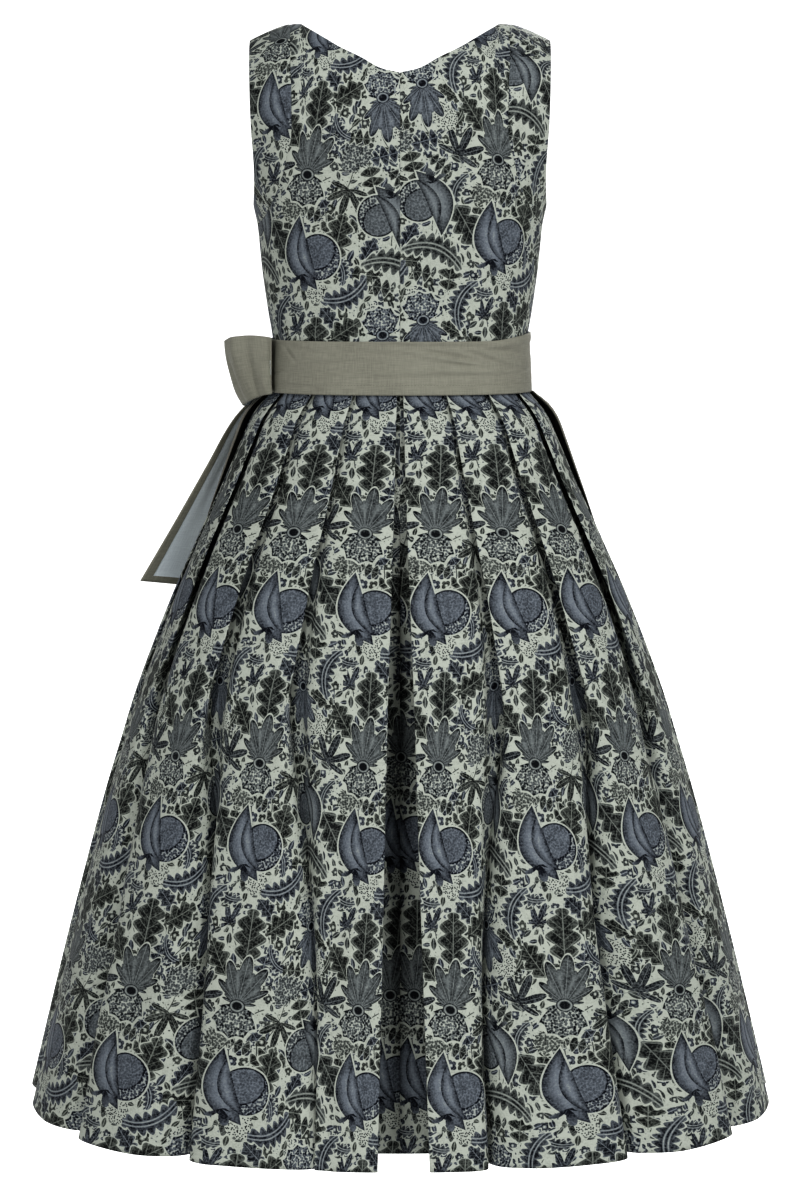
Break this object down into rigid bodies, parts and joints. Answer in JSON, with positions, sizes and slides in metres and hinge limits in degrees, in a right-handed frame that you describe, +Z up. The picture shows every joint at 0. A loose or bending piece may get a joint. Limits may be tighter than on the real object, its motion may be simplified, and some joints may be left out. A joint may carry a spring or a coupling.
{
  "type": "dirndl dress",
  "caption": "Sleeveless dirndl dress filled out as worn: fitted bodice, knife-pleated midi skirt in printed cloth, plain apron and a wrapped sash tied in a bow at one side.",
  "frame": {"origin": "midway between the shoulders, level with the top of the straps, where the wearer carries the dress", "axes": "+Z up, +Y the way the wearer faces, +X the wearer's right; the back of the dress faces -Y"},
  "size_m": [0.8245, 0.7304, 1.17],
  "materials": {
    "printed_cloth": "matt woven cloth with an all-over print",
    "sash_cloth": "soft matt weave",
    "apron_cloth": "soft matt weave"
  },
  "bodies": {
    "root": {"back_left": "printed_cloth", "back_right": "printed_cloth", "side_back_left": "printed_cloth", "side_back_right": "printed_cloth", "front_left": "printed_cloth", "front_right": "printed_cloth", "side_front_left": "printed_cloth", "side_front_right": "printed_cloth", "skirt_back_left": "printed_cloth", "skirt_back_right": "printed_cloth", "skirt_front_left": "printed_cloth", "skirt_front_right": "printed_cloth", "sash_band": "sash_cloth", "bow_knot": "sash_cloth", "bow_loop_back": "sash_cloth", "bow_loop_front": "sash_cloth", "tail_back": "sash_cloth", "tail_front": "sash_cloth", "apron": "apron_cloth"}
  },
  "joints": []
}
